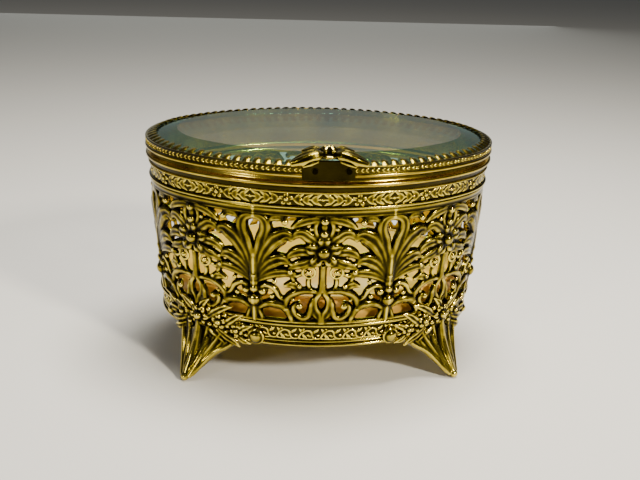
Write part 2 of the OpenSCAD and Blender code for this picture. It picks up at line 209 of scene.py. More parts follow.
def spunRing(name, outline, closed=True):  # an outline of (offset, height) spun through the four arcs
    arcs = [
        (0, oval["sideCentre"], oval["sideRadius"], -sideAngle, 2 * sideAngle),
        (oval["endCentre"], 0, oval["endRadius"], sideAngle, math.pi - 2 * sideAngle),
        (0, -oval["sideCentre"], oval["sideRadius"], math.pi - sideAngle, 2 * sideAngle),
        (-oval["endCentre"], 0, oval["endRadius"], math.pi + sideAngle, math.pi - 2 * sideAngle)]
    parts = []
    for midX, midY, radius, start, sweep in arcs:
        clearSelection()
        bpy.ops.mesh.primitive_circle_add(vertices=len(outline), radius=1, location=(0, 0, 0))
        part = bpy.context.object
        setPoints(part, [
            (mm * (midX + (radius + off) * math.sin(start)),
             mm * (midY - (radius + off) * math.cos(start)), mm * z) for off, z in outline])
        bpy.ops.object.mode_set(mode="EDIT")
        if not closed:  # open the outline between its last and first points
            bpy.ops.mesh.select_all(action="DESELECT")
            bpy.ops.object.mode_set(mode="OBJECT")
            for link in part.data.edges:
                link.select = set(link.vertices) == {0, len(outline) - 1}
            bpy.ops.object.mode_set(mode="EDIT")
            bpy.ops.mesh.select_mode(type="EDGE")
            bpy.ops.mesh.delete(type="EDGE")
            bpy.ops.mesh.select_mode(type="VERT")
        bpy.ops.mesh.select_all(action="SELECT")
        bpy.ops.mesh.spin(steps=44, angle=-sweep, center=(midX * mm, midY * mm, 0), axis=(0, 0, 1))
        bpy.ops.object.mode_set(mode="OBJECT")
        parts.append(part)
    hoop = joinAll(parts, name)
    closeUp(hoop, 0.02 * mm)
    return hoop


def arcPoints(midX, midZ, radius, start, end, count):  # part of a circle in an outline, degrees
    turns = np.radians(np.linspace(start, end, count))
    return [(midX + radius * math.cos(t), midZ + radius * math.sin(t)) for t in turns]


# strokes, leaves and flowers that the stamped work is made of


def strokeTubes(name, strokes):  # strokes of (x, y, radius[, z]) as round tubes
    clearSelection()
    bpy.ops.curve.primitive_bezier_curve_add(location=(0, 0, 0))
    obj = bpy.context.object
    data = obj.data
    data.splines.clear()
    data.dimensions = "3D"
    data.bevel_depth = 1
    data.bevel_resolution = 2
    data.resolution_u = 5
    data.use_fill_caps = True
    for points in strokes:
        spline = data.splines.new("BEZIER")
        spline.bezier_points.add(len(points) - 1)
        for knot, point in zip(spline.bezier_points, points):
            knot.co = (point[0], point[1], point[3] if len(point) > 3 else 0)
            knot.radius = point[2]
            knot.handle_left_type = knot.handle_right_type = "AUTO"
    bpy.ops.object.convert(target="MESH")
    obj.name = name
    return obj


def leaf(points, spread=0.5, slim=0.66):  # two ridges with a vein between them, meeting at the tip
    p = np.array([q if len(q) > 3 else (*q, 0) for q in points], float)
    along = np.gradient(p[:, :2], axis=0)
    across = np.stack([-along[:, 1], along[:, 0]], 1) / np.linalg.norm(along, axis=1)[:, None]
    made = []
    for side in (-1, 1):
        shift = across * (side * spread * p[:, 2])[:, None]
        shift[-1] *= 0.2
        made.append([(a + dx, b + dy, slim * r, z) for (a, b, r, z), (dx, dy) in zip(p, shift)])
    return made


def ball(x, y, r, z=0.0, squash=1.0):
    bpy.ops.mesh.primitive_uv_sphere_add(
        segments=14, ring_count=8, radius=r, location=(x, y, z), scale=(1, 1, squash))
    return bpy.context.object


def ring(x, y, r, thick, z=0.0):
    bpy.ops.mesh.primitive_torus_add(
        major_segments=24, minor_segments=8, major_radius=r, minor_radius=thick, location=(x, y, z))
    return bpy.context.object


def flower(x, y, petals, reach, dome, start=90.0, lift=0.0, keep=None):  # petals round a ringed dome
    strokes = []
    for i in range(petals):
        turn = math.radians(start + 360 * i / petals)
        c, s = math.cos(turn), math.sin(turn)
        if keep and not keep(c, s):
            continue
        strokes += leaf([
            (x + c * dome * 0.9, y + s * dome * 0.9, reach * 0.16, lift),
            (x + c * reach * 0.7, y + s * reach * 0.7, reach * 0.29, lift + 0.25),
            (x + c * reach, y + s * reach, reach * 0.14, lift)], 0.55, 0.62)
    return strokes


# melt the strokes and balls into one skin
def forge(name, strokes, solids, voxel, depth=0.75, floor=-0.35, rounds=2):
    parts = [strokeTubes(name, strokes)] if strokes else []
    parts += solids
    freeze(parts)
    body = joinAll(parts, name)
    p = getPoints(body)
    p[:, 2] *= depth
    setPoints(body, p)
    applyModifier(body, "REMESH", mode="VOXEL", voxel_size=voxel)
    applyModifier(body, "SMOOTH", factor=0.5, iterations=rounds)
    if floor is not None:
        p = getPoints(body)
        p[:, 2] = np.maximum(p[:, 2], floor)
        setPoints(body, p)
    return body


def writeReliefAndShade(obj, value):
    layer = obj.data.attributes.new("relief_and_shade", "FLOAT", "POINT")
    layer.data.foreach_set("value", np.clip(value, 0, 1).astype(np.float32))


def vertexNormals(obj):
    normals = np.zeros(len(obj.data.vertices) * 3, np.float32)
    obj.data.vertex_normals.foreach_get("vector", normals)
    return normals.reshape(-1, 3)


# stamped outside stays dark and the plain inside is bright; faces turned upwards are painted lighter, painted
# light from above, and each bead carries a painted highlight line
def ringReliefAndShade(obj, outside, inside, beads=()):
    p, normals = getPoints(obj), vertexNormals(obj)
    facing = (normals[:, :2] * p[:, :2]).sum(1) / (np.linalg.norm(p[:, :2], axis=1) + 1e-9)
    # painted light: faces turned upwards are made lighter, as if lit from above
    value = outside + 0.2 * np.clip(normals[:, 2], 0, 1)
    # painted highlight: the outward side of each bead is made bright
    for bead in beads:
        value[(np.abs(p[:, 2] / mm - bead) < 0.42) & (facing > 0.2)] = 0.78
    writeReliefAndShade(obj, np.where(facing < -0.4, inside, value))


# 0 in the hollows, 1 on the high points that rub bright; faces turned towards outward are painted lighter and
# faces turned aside painted darker, as painted light and shade
# painted shade: the low middle keeps the whole surface dark, standing in for dark surroundings reflected in the
# metal
def markReliefAndShade(obj, reach=3, normalWeight=0.35, outward=(0, 0, 1), middle=0.3):
    mesh = obj.data
    count = len(mesh.vertices)
    edges = np.zeros(len(mesh.edges) * 2, np.int64)
    mesh.edges.foreach_get("vertices", edges)
    edges = edges.reshape(-1, 2)
    p = getPoints(obj)
    normals = vertexNormals(obj)
    near = np.bincount(edges.ravel(), minlength=count).clip(1)

    def average(values):
        total = np.zeros_like(values)
        for a, b in ((0, 1), (1, 0)):
            if values.ndim == 1:
                total += np.bincount(edges[:, a], values[edges[:, b]], count)
            else:
                sums = [np.bincount(edges[:, a], values[edges[:, b], k], count) for k in range(3)]
                total += np.stack(sums, 1)
        return total / (near if values.ndim == 1 else near[:, None])

    far = p.copy()
    for _ in range(reach * 2):
        far = average(far)
    bulge = ((p - far) * normals).sum(1)
    bulge = average(average(bulge)) / (np.std(bulge) + 1e-9)
    facing = normals @ np.array(outward, float)
    # painted light and shade: faces turned towards outward lighter, faces turned aside darker
    value = middle + 0.36 * bulge + normalWeight * (facing - 0.6)
    writeReliefAndShade(obj, np.where(facing < -0.5, 0.8, value))


# finishes


def newMaterial(name, shown=True):
    material = bpy.data.materials.new(name)
    material.use_nodes = True
    tree = material.node_tree
    tree.nodes.clear()
    shader = addNode(tree, "ShaderNodeBsdfPrincipled")
    if shown:
        addNode(tree, "ShaderNodeOutputMaterial", links={"Surface": shader.outputs[0]})
    return material, tree, shader


def giltMetal(name, look):
    material, tree, shader = newMaterial(name)
    shader.inputs["Metallic"].default_value = 1.0
    spot = addNode(tree, "ShaderNodeTexCoord")
    cloudy = addNode(tree, "ShaderNodeTexNoise",
                     {"Scale": 1000 / look["blotch"], "Detail": 4.0, "Roughness": 0.6},
                     {"Vector": spot.outputs["Object"]})
    grain = addNode(tree, "ShaderNodeTexNoise", {"Scale": 1000 / look["grain"], "Detail": 3.0},
                    {"Vector": spot.outputs["Object"]})
    if look["wornAndShaded"]:
        relief_and_shade = addNode(tree, "ShaderNodeAttribute", {"attribute_name": "relief_and_shade"})
        mixed = addNode(tree, "ShaderNodeMath", {"operation": "MULTIPLY_ADD", 1: 0.35, 2: -0.175},
                        {0: cloudy.outputs["Fac"]})
        wearAndShade = addNode(tree, "ShaderNodeMath", {"operation": "ADD", "use_clamp": True},
                       {0: relief_and_shade.outputs["Fac"], 1: mixed.outputs[0]})
        source = wearAndShade.outputs[0]
    else:
        source = cloudy.outputs["Fac"]
    ramp = addNode(tree, "ShaderNodeValToRGB", links={"Fac": source})
    stops = ramp.color_ramp.elements
    for stop, (at, tint) in zip([stops[0], stops[1]], [look["tints"][0], look["tints"][-1]]):
        stop.position, stop.color = at, linear(tint)
    for at, tint in look["tints"][1:-1]:
        stops.new(at).color = linear(tint)
    tree.links.new(ramp.outputs["Color"], shader.inputs["Base Color"])
    rough = addNode(tree, "ShaderNodeMapRange",
                    {"From Min": 0.0, "From Max": 1.0, "To Min": look["rough"][0], "To Max": look["rough"][1]},
                    {"Value": source})
    tree.links.new(rough.outputs["Result"], shader.inputs["Roughness"])
    bump = addNode(tree, "ShaderNodeBump", {"Strength": look["bump"], "Distance": 0.0001},
                   {"Height": grain.outputs["Fac"]})
    tree.links.new(bump.outputs["Normal"], shader.inputs["Normal"])
    return material


# stamped brass with an antique gold wash: dark olive patina left in the hollows, high points rubbed bright; the
# attribute it reads also carries painted light and shade
antiqueGilt = giltMetal("antique_gold_washed_brass", {
    "tints": [(0.14, "#0d0a02"), (0.4, "#37300b"), (0.64, "#84731f"), (0.92, "#e6cf55")],
    "rough": (0.32, 0.12), "blotch": 9.0, "grain": 0.5, "bump": 0.12, "wornAndShaded": True})
# the same wash on smooth drawn and spun parts: even, soft polish with faint cloudiness
polishedGilt = giltMetal("polished_gold_washed_brass", {
    "tints": [(0.3, "#8c7722"), (0.55, "#b59c34"), (0.75, "#dcc452")],
    "rough": (0.13, 0.24), "blotch": 14.0, "grain": 0.7, "bump": 0.06, "wornAndShaded": False})
# zinc-plated steel screws and nuts: cool grey, fine turned marks
zincSteel, steelTree, steelShader = newMaterial("zinc_plated_steel")
steelShader.inputs["Metallic"].default_value = 1.0
steelShader.inputs["Base Color"].default_value = linear("#b9b9b4")
steelPlace = addNode(steelTree, "ShaderNodeTexCoord")
steelCloud = addNode(steelTree, "ShaderNodeTexNoise", {"Scale": 900.0, "Detail": 3.0},
                     {"Vector": steelPlace.outputs["Object"]})
steelRough = addNode(steelTree, "ShaderNodeMapRange", {"To Min": 0.28, "To Max": 0.42},
                     {"Value": steelCloud.outputs["Fac"]})
steelTree.links.new(steelRough.outputs["Result"], steelShader.inputs["Roughness"])

# grey millboard under the padding: matt, with loose fibres
millboard, boardTree, boardShader = newMaterial("grey_millboard")
boardShader.inputs["Roughness"].default_value = 0.9
boardPlace = addNode(boardTree, "ShaderNodeTexCoord")
boardFibre = addNode(boardTree, "ShaderNodeTexNoise", {"Scale": 1400.0, "Detail": 5.0, "Roughness": 0.7},
                     {"Vector": boardPlace.outputs["Object"]})
boardTint = addNode(boardTree, "ShaderNodeValToRGB", links={"Fac": boardFibre.outputs["Fac"]})
boardTint.color_ramp.elements[0].color = linear("#8d857a")
boardTint.color_ramp.elements[1].color = linear("#c4bbac")
boardTree.links.new(boardTint.outputs["Color"], boardShader.inputs["Base Color"])

# champagne gold acetate satin: soft sheen, its fine cross threads drawn as faint ribs, coarse enough to show
ribSpacing = 3.77
satinCloth, satinTree, satinShader = newMaterial("champagne_satin")
satinShader.inputs["Sheen Weight"].default_value = 0.35
satinShader.inputs["Sheen Roughness"].default_value = 0.4
satinShader.inputs["Roughness"].default_value = 0.42
satinPlace = addNode(satinTree, "ShaderNodeTexCoord")
satinAcross = addNode(satinTree, "ShaderNodeTexWave",
                      {"Scale": 2 * math.pi / 20 / (ribSpacing * mm), "Distortion": 0.6, "Detail": 1.0,
                       "bands_direction": "Y"}, {"Vector": satinPlace.outputs["Object"]})
satinCloud = addNode(satinTree, "ShaderNodeTexNoise", {"Scale": 60.0, "Detail": 3.0},
                     {"Vector": satinPlace.outputs["Object"]})
satinTint = addNode(satinTree, "ShaderNodeValToRGB", links={"Fac": satinCloud.outputs["Fac"]})
satinTint.color_ramp.elements[0].position = 0.3
satinTint.color_ramp.elements[1].position = 0.75
satinTint.color_ramp.elements[0].color = linear("#dc9f2c")
satinTint.color_ramp.elements[1].color = linear("#f5c650")
satinTree.links.new(satinTint.outputs["Color"], satinShader.inputs["Base Color"])
satinBump = addNode(satinTree, "ShaderNodeBump", {"Strength": 0.15, "Distance": 0.0002},
                    {"Height": satinAcross.outputs["Fac"]})
satinTree.links.new(satinBump.outputs["Normal"], satinShader.inputs["Normal"])


def paneGlass(name, tint, clear):  # thin clear pane: see-through, with more mirror towards grazing angles
    material, tree, shader = newMaterial(name, False)
    tree.nodes.remove(shader)
    spot = addNode(tree, "ShaderNodeTexCoord")
    haze = addNode(tree, "ShaderNodeTexNoise", {"Scale": 70.0, "Detail": 4.0},
                   {"Vector": spot.outputs["Object"]})
    rough = addNode(tree, "ShaderNodeMapRange",
                    {"From Min": 0.45, "From Max": 0.8, "To Min": 0.01, "To Max": 0.07},
                    {"Value": haze.outputs["Fac"]})
    through = addNode(tree, "ShaderNodeBsdfTransparent", {"Color": linear(clear)})
    mirror = addNode(tree, "ShaderNodeBsdfAnisotropic", {"Color": linear(tint)},
                     {"Roughness": rough.outputs["Result"]})
    facing = addNode(tree, "ShaderNodeLayerWeight", {"Blend": 0.5})
    steep = addNode(tree, "ShaderNodeMath", {"operation": "POWER", 1: 4.0}, {0: facing.outputs["Facing"]})
    share = addNode(tree, "ShaderNodeMath", {"operation": "MULTIPLY_ADD", 1: 0.62, 2: 0.04},
                    {0: steep.outputs[0]})
    path = addNode(tree, "ShaderNodeLightPath")  # lamps shine through the pane into the box
    lit = addNode(tree, "ShaderNodeMath", {"operation": "SUBTRACT", "use_clamp": True},
                  {0: share.outputs[0], 1: path.outputs["Is Shadow Ray"]})
    mixed = addNode(tree, "ShaderNodeMixShader",
                    links={0: lit.outputs[0], 1: through.outputs[0], 2: mirror.outputs[0]})
    addNode(tree, "ShaderNodeOutputMaterial", links={"Surface": mixed.outputs[0]})
    return material


# bevelled float glass with the slight green of its iron, wiped but not spotless
bevelledGlass = paneGlass("bevelled_float_glass", "#e8f2ee", "#e9f3ee")
# its ground and polished bevel, where the slanting cut gathers the green
bevelGlass = paneGlass("polished_glass_bevel", "#cfe6dd", "#9fc4b6")
print("finishes made")

# pierced filigree wall

wall = {"repeats": 7, "voxel": 0.29, "start": -1.5, "depth": 0.8, "weight": 1.16, "rise": 0.957}
half = roundTrip / wall["repeats"] / 2  # from a bouquet to the next palmette


def halfMotif():  # bouquet at x = 0, palmette at x = half, both cut in half
    strokes = [
        [(0, -0.2, 1.3), (0.5, 3.6, 1.0), (2.3, 7.0, 0.8), (2.3, 9.8, 0.8), (0.7, 13.0, 0.9), (0, 15.5, 0.9)],
        [(0, 13.2, 1.1), (0, 19, 0.85), (0, 24, 0.9)],
        [(0, 33, 0.9), (0, 36.6, 1.25), (0, 38, 0.8), (0, 39.4, 1.05), (0, 41.3, 1.35), (0, 43.4, 0.6)],
        [(3.0, 10.6, 0.5), (3.6, 8, 0.9), (4.0, 5, 1.0), (6.0, 2.2, 1.1), (8.8, 3.1, 1.0), (10.2, 5.6, 0.85),
         (9.4, 7.6, 0.8), (7.6, 7.9, 0.8)],
        [(0.8, 12.8, 0.6), (5, 13.6, 1.0), (9.5, 12.6, 1.15), (12.6, 9.7, 1.05), (13.4, 6, 0.7)],
        [(23.6, 5.0, 0.7), (20, 7.2, 1.2), (16.8, 7.6, 1.6), (13.8, 6.4, 1.3), (11.8, 3.5, 0.95),
         (10.6, -0.2, 0.7)],
        [(half, 7, 1.3), (half, -0.2, 1.0)],
        [(half - 0.6, 6.5, 0.7), (22.6, 3, 0.65), (21.4, -0.2, 0.6)],
        [(23, 12.8, 0.8), (20.5, 14.8, 0.9), (17.5, 13.7, 0.85), (15.4, 10.4, 0.7), (13.4, 9, 0.6)],
        [(-2, 0.2, 0.75), (half + 2, 0.2, 0.75)],
        [(-2, 43.5, 0.6), (half + 2, 43.5, 0.6)],
        [(-2, 45.1, 1.2, -0.5), (half + 2, 45.1, 1.2, -0.5)],
        [(half, 17, 1.5), (half, 24, 1.5), (half - 0.8, 29.5, 0.9)],
        [(half - 0.2, 13, 1.1), (half, 15.6, 1.5), (half, 18, 1.2)],
        [(4.9, 19.0, 0.5), (5.0, 16.0, 0.55), (3.4, 13.2, 0.5)],
        [(7, 20.5, 0.5), (9.6, 19.6, 0.6), (12, 20.2, 0.6)],
        [(9.4, 16, 0.5), (10.6, 18.2, 0.55), (11.4, 20, 0.5)],
        [(0.5, 33, 0.6), (2.6, 36.4, 0.75), (3.0, 39.8, 0.75), (1.2, 42.2, 0.5)],
    ]
    for points in (
        [(2.2, 32.4, 0.9), (5.0, 34.9, 1.7), (8.2, 36.7, 1.6), (11.6, 34.2, 0.7)],
        [(3.6, 28.6, 0.8), (7.2, 29.6, 1.7), (10.2, 28.8, 1.4), (13.2, 26.2, 0.6)],
        [(3.4, 26.6, 0.8), (6.6, 24.7, 1.5), (9.4, 23.8, 1.3), (12.2, 22.2, 0.6)],
        [(0.4, 1.6, 0.8), (2.4, 4.6, 1.2), (2.2, 8.2, 0.5)],
        [(7.2, 12.8, 0.6), (10.6, 15.9, 1.3), (14.0, 15.0, 0.5)],
        [(0.6, 42.0, 0.7), (4.3, 42.0, 1.4), (8.5, 40.4, 1.2), (11.4, 38.2, 0.5)],
        [(13.2, 41.4, 0.6), (16.6, 42.2, 1.1), (19.8, 40.6, 0.6)],
        [(half - 0.4, 17, 1.0), (half - 1.2, 25, 1.5), (half - 3.2, 33, 1.9), (half - 4.4, 38.4, 1.6),
         (half - 3.2, 41.4, 1.3), (half + 1, 42.4, 1.1)],
        [(half - 0.6, 17, 0.9), (half - 2.4, 24, 1.35), (half - 5.6, 31, 2.2), (half - 8.8, 34.6, 2.5),
         (half - 12.0, 35.7, 1.5), (half - 13.8, 33.4, 0.8)],
        [(half - 0.8, 16.8, 0.8), (half - 3.4, 21.2, 1.3), (half - 6.9, 24.7, 2.1),
         (half - 10.2, 25.8, 1.8), (half - 12.8, 24.4, 0.7)],
        [(half - 1.2, 16.4, 0.7), (half - 5.0, 18.9, 1.2), (half - 9.0, 20.4, 1.5),
         (half - 13.2, 20.4, 1.1), (half - 16, 19.0, 0.5)],
        [(half - 0.6, 12.6, 0.8), (half - 3.0, 11.4, 1.0), (half - 4.6, 13.4, 0.5)],
    ):
        strokes += leaf(points)
    strokes += flower(0, 29.3, 5, 6.5, 2.6, lift=0.3, keep=lambda c, s: c > -0.1)
    solids = [
        ball(0, 29.3, 2.2, 1.2), ring(0, 29.3, 2.9, 0.5, 0.8), ball(4.9, 21.2, 1.2, 0.7),
        ring(4.9, 21.2, 2.2, 0.6, 0.4), ball(8.2, 15.4, 1.0, 0.4), ball(8.1, 7.2, 1.4, 0.5),
        ball(13.2, 5.8, 1.2, 0.4), ball(half, 8.7, 2.5, 0.8), ring(half, 8.7, 2.6, 0.5, 0.3),
        ball(half, 13.1, 1.7, 0.6), ball(half - 3.1, 12.2, 1.5, 0.5), ball(half, 18.6, 1.2, 0.9),
        ball(13.6, 40.6, 1.3, 0.4), ball(11.6, 20.9, 1.1, 0.3), ball(13.6, 33.6, 0.9, 0.2),
        ball(0, 36.6, 1.5, 0.7), ball(0, 41.4, 1.5, 0.7), ball(4.4, 38.4, 0.9, 0.2),
        ball(11.3, 24.2, 0.8, 0.2), ball(17.2, 16.6, 1.0, 0.3), ball(18.2, 10.6, 1.1, 0.3),
        ball(10.4, 9.6, 0.8, 0.3)]
    return strokes, solids


def halfToUnit(piece, width):  # trim at both ends, then mirror across the bouquet
    for at, way in ((0.0, True), (width, False)):
        pick(piece)
        bpy.ops.object.mode_set(mode="EDIT")
        bpy.ops.mesh.select_all(action="SELECT")
        bpy.ops.mesh.bisect(plane_co=(at, 0, 0), plane_no=(1, 0, 0), use_fill=not way,
                            clear_inner=way, clear_outer=not way)
        bpy.ops.object.mode_set(mode="OBJECT")
    applyModifier(piece, "MIRROR", use_axis=(True, False, False), use_mirror_merge=True, merge_threshold=0.002)
    return piece


strokes, solids = halfMotif()
strokes = [[(q[0], q[1], q[2] * wall["weight"] + 0.06, *q[3:]) for q in points] for points in strokes]
sheet = strokeTubes("filigreeSheet", [[(q[0], q[1], q[2] * 1.2 + 0.5) for q in points] for points in strokes])
p = getPoints(sheet)
p[:, 2] = p[:, 2] * 0.22 - 0.62  # the plain sheet left standing round every stroke
setPoints(sheet, p)
unit = forge("filigreeUnit", strokes, solids + [sheet], wall["voxel"], wall["depth"], -0.85)
p = getPoints(unit)
cells = np.round((p[:, :2] - p[:, :2].min(0)) / 0.4).astype(int)
cells = cells[:, 0] * 1000 + cells[:, 1]
front = np.full(cells.max() + 1, -0.85)
np.maximum.at(front, cells, p[:, 2])  # the front's height over every point of the back
back = p[:, 2] < -0.84
p[back, 2] = np.clip(front[cells[back]] - 1.15, -0.85, 0.1)
setPoints(unit, p)
applyModifier(unit, "SMOOTH", factor=0.5, iterations=1)
unit = halfToUnit(unit, half)
p = getPoints(unit)
p[:, 1] *= wall["rise"]
setPoints(unit, p)
smoothShade(unit, 60)
markReliefAndShade(unit)
for i in range(wall["repeats"]):
    panel = copyOf(unit, f"filigreePanel{i + 1}")
    wrapOn(panel, wall["start"] + 2 * half * i, -0.55, height=levels["wall"])
    place(panel, antiqueGilt, "casket", ["filigree_wall"] if i == 0 else [])
print("filigree wall:", len(unit.data.polygons), "faces in each of", wall["repeats"])
bpy.data.objects.remove(unit)

# turned rings: bands, collar, lid frame

low, high = levels["band"], levels["collar"]
upperOutline = (
    [(skin(high) - 1.0, high), (skin(high) - 1.0, low + 0.2), (skin(low) - 1.0, low)]
    + arcPoints(skin(low + 0.6) + 0.05, low + 0.6, 0.55, -90, 80, 8)
    + [(skin(low + 1.4) - 0.45, low + 1.25), (skin(high - 2.3) - 0.45, high - 2.5)]
    + arcPoints(skin(high - 2.0) - 0.1, high - 2.05, 0.4, -80, 70, 6)
    + [(skin(high - 1.5) - 0.3, high - 1.55), (skin(high - 0.2) - 0.3, high - 0.3), (skin(high), high)])
band = spunRing("upperBand", upperOutline)
smoothShade(band)
ringReliefAndShade(band, 0.24, 0.8, (low + 0.6, high - 2.05))
place(band, antiqueGilt, "casket", ["upper_band"])

low, high = levels["foot"], levels["wall"]
lowerOutline = (
    [(skin(high) - 1.0, high - 0.1), (skin(low + 2) - 1.0, low + 2), (skin(low) - 2.4, low + 1.2),
     (skin(low) - 2.4, low)]
    + arcPoints(skin(low + 0.6), low + 0.65, 0.65, -90, 80, 8)
    + [(skin(low + 1.6) - 0.45, low + 1.5)]
    + arcPoints(skin(low + 1.9) - 0.35, low + 1.95, 0.35, -70, 70, 5)
    + [(skin(low + 2.5) - 0.5, low + 2.5), (skin(high - 1.6) - 0.5, high - 1.8)]
    + arcPoints(skin(high - 0.7), high - 0.75, 0.75, -80, 90, 9))
band = spunRing("lowerBand", lowerOutline)
smoothShade(band)
ringReliefAndShade(band, 0.28, 0.8, (low + 0.65, low + 1.95, high - 0.75))
place(band, antiqueGilt, "casket", ["lower_band"])

low = levels["collar"]
collarOutline = (
    [(-3.2, low + 0.05), (-1.3, low + 0.05)] + arcPoints(-0.95, low + 0.85, 0.8, -80, 90, 10)
    + [(-2.1, low + 1.8), (-2.25, low + 2.1), (-2.25, low + 3.2), (-2.4, low + 3.38), (-3.2, low + 3.38)])
collar = spunRing("rimCollar", collarOutline)
smoothShade(collar)
place(collar, polishedGilt, "casket", ["rim_collar"])

low = levels["lid"]
frameOutline = (
    [(-3.4, low + 0.02), (-1.6, low + 0.02)] + arcPoints(-0.72, low + 0.74, 0.7, -95, 90, 10)
    + [(-1.05, low + 1.5), (-1.05, low + 3.9), (-1.75, low + 3.9), (-1.75, low + 2.15), (-3.4, low + 2.15)])
lidRing = spunRing("lidFrame", frameOutline)
smoothShade(lidRing)
place(lidRing, polishedGilt, "lid", ["lid_frame"])

galleryOutline = (
    [(-1.04, low + 1.45), (-0.5, low + 1.42)] + arcPoints(-0.42, low + 1.62, 0.22, -60, 60, 4)
    + [(-0.55, low + 1.95), (-0.55, low + 3.35)]
    + arcPoints(-0.5, low + 3.68, 0.36, -60, 100, 6) + [(-1.04, low + 4.02)])
gallery = spunRing("lidGallery", galleryOutline)
smoothShade(gallery)
ringReliefAndShade(gallery, 0.36, 0.8)
place(gallery, antiqueGilt, "lid", ["lid_gallery"])
print("rings spun")


# copies of a flat unit wrapped round, joined
def repeatOnRing(unit, name, count, start, out, lidOutset=None):
    pitch = roundTrip / count
    p = getPoints(unit)
    copies = []
    for i in range(count):
        twin = copyOf(unit, name)
        run = start + pitch * i + p[:, 0]
        base = skin(p[:, 1]) if lidOutset is None else lidOutset
        setPoints(twin, onOval(run, base + out + p[:, 2], p[:, 1]) * mm)
        copies.append(twin)
    whole = joinAll(copies, name)
    bpy.data.objects.remove(unit)
    return whole


# laurel wreath of the upper band: paired leaves and berries between small roundels
laurel = {"count": 14, "voxel": 0.24, "start": 10.0}
pitch = roundTrip / laurel["count"]
strokes = [[(0, 73.9, 0.36), (pitch / 2, 74.0, 0.3), (pitch, 73.9, 0.36)]]
for x in (2.6, 5.6, 8.6):
    for side in (-1, 1):
        lean = 73.9 + side * 0.1
        for at, way in ((x, 1), (pitch - x, -1)):
            strokes += leaf([(at, lean, 0.3), (at + way * 1.7, lean + side * 1.1, 0.66),
                             (at + way * 3.5, lean + side * 2.1, 0.25)], 0.55, 0.62)
strokes += flower(0, 73.9, 5, 2.5, 0.8, lift=0.2)
solids = [ball(0, 73.9, 0.85, 0.7), ball(pitch / 2, 74.0, 0.7, 0.1), ball(4.8, 73.9, 0.5, 0.1),
          ball(pitch - 4.8, 73.9, 0.5, 0.1)]
unit = forge("laurelUnit", strokes, solids, laurel["voxel"], 0.62, -0.3, 1)
smoothShade(unit, 60)
# painted shade: a lower middle keeps the wreath darker still, for the same dark surroundings reflected
markReliefAndShade(unit, middle=0.22)
wreath = repeatOnRing(unit, "laurelWreath", laurel["count"], laurel["start"], -0.42)
place(wreath, antiqueGilt, "casket")
print("laurel wreath:", len(wreath.data.polygons), "faces")

# running scroll of the lower band
scroll = {"count": 42, "voxel": 0.22}
pitch = roundTrip / scroll["count"]
strokes = [
    [(0, 20.4, 0.4), (1.6, 22.8, 0.5), (3.6, 23.6, 0.5), (5.0, 22.6, 0.5), (4.6, 21.2, 0.45), (3.4, 21.4, 0.4)],
    [(pitch, 20.4, 0.4), (6.6, 20.2, 0.45), (5.4, 21.0, 0.45), (5.0, 22.6, 0.4)],
    [(0, 20.2, 0.3), (pitch / 2, 19.95, 0.3), (pitch, 20.2, 0.3)],
]
strokes += leaf([(1.4, 22.6, 0.3), (0.9, 23.6, 0.55), (0.2, 24.3, 0.2)])
strokes += leaf([(5.6, 22.6, 0.3), (6.6, 23.4, 0.6), (7.6, 24.2, 0.2)])
strokes += leaf([(1.6, 21.9, 0.3), (2.4, 20.9, 0.5), (3.2, 20.4, 0.2)])
solids = [ball(3.6, 21.7, 0.6, 0.2), ball(7.4, 21.7, 0.65, 0.2), ball(2.0, 24.2, 0.4, 0.1)]
unit = forge("scrollUnit", strokes, solids, scroll["voxel"], 0.65, -0.3, 1)
smoothShade(unit, 60)
# painted shade: a lower middle keeps the scroll darker still, for the same dark surroundings reflected
markReliefAndShade(unit, middle=0.16)
border = repeatOnRing(unit, "scrollBorder", scroll["count"], wall["start"], -0.35)
place(border, antiqueGilt, "casket")
print("scroll border:", len(border.data.polygons), "faces")

# fine foliage pressed into the lid band, a few dozen faces a sprig
sprig = {"count": 96}
pitch = roundTrip / sprig["count"]
clearSelection()
parts = []
for x, z, turn in ((0.7, 84.95, 0.6), (0.7, 84.3, -0.6), (2.3, 84.95, 0.6), (2.3, 84.3, -0.6)):
    bpy.ops.mesh.primitive_uv_sphere_add(
        segments=6, ring_count=4, radius=0.5, location=(x, z, 0), scale=(1.7, 0.6, 0.7), rotation=(0, 0, turn))
    parts.append(bpy.context.object)
freeze(parts)
unit = joinAll(parts, "sprigUnit")
smoothShade(unit, 80)
markReliefAndShade(unit, 1, 0.6)
sprigs = repeatOnRing(unit, "lidSprigs", sprig["count"], wall["start"], -0.5, 0.0)
place(sprigs, antiqueGilt, "lid")

# dog-tooth prongs bent over the glass
prong = {"count": 96, "root": 1.55, "waist": 1.05, "tip": 1.25, "thick": 0.4}
tooth = flatGrid("prongUnit", 5)
p = getPoints(tooth)
along = p[:, 1] + 0.5  # 0 at the root, 1 at the tip
width = np.interp(along, [0, 0.25, 0.55, 0.8, 1], [prong["root"], 1.15, prong["waist"], prong["tip"], 0.55])
bow = np.cos(p[:, 0] * 2 * 1.2)
setPoints(tooth, np.stack([p[:, 0] * 2 * width, along, bow * 0.45 * (0.6 + 0.6 * along)], 1))
applyModifier(tooth, "SOLIDIFY", thickness=prong["thick"], offset=-1)
closeUp(tooth, 0)
p = getPoints(tooth)
pitch = roundTrip / prong["count"]
reachIn = {"lean": 3.9, "rise": 1.35, "root": levels["lid"] + 3.95}
copies = []
for i in range(prong["count"]):
    twin = copyOf(tooth, "prongTip")
    t = p[:, 1]
    off = -0.55 - reachIn["lean"] * t + 0.25 * p[:, 2]
    height = reachIn["root"] + reachIn["rise"] * np.sin(t * 1.7) / np.sin(1.7) * 0.95 + p[:, 2] * 0.75 - 0.3
    setPoints(twin, onOval(wall["start"] + pitch * (i + 0.5) + p[:, 0], off, height) * mm)
    copies.append(twin)
prongs = joinAll(copies, "lidProngs")
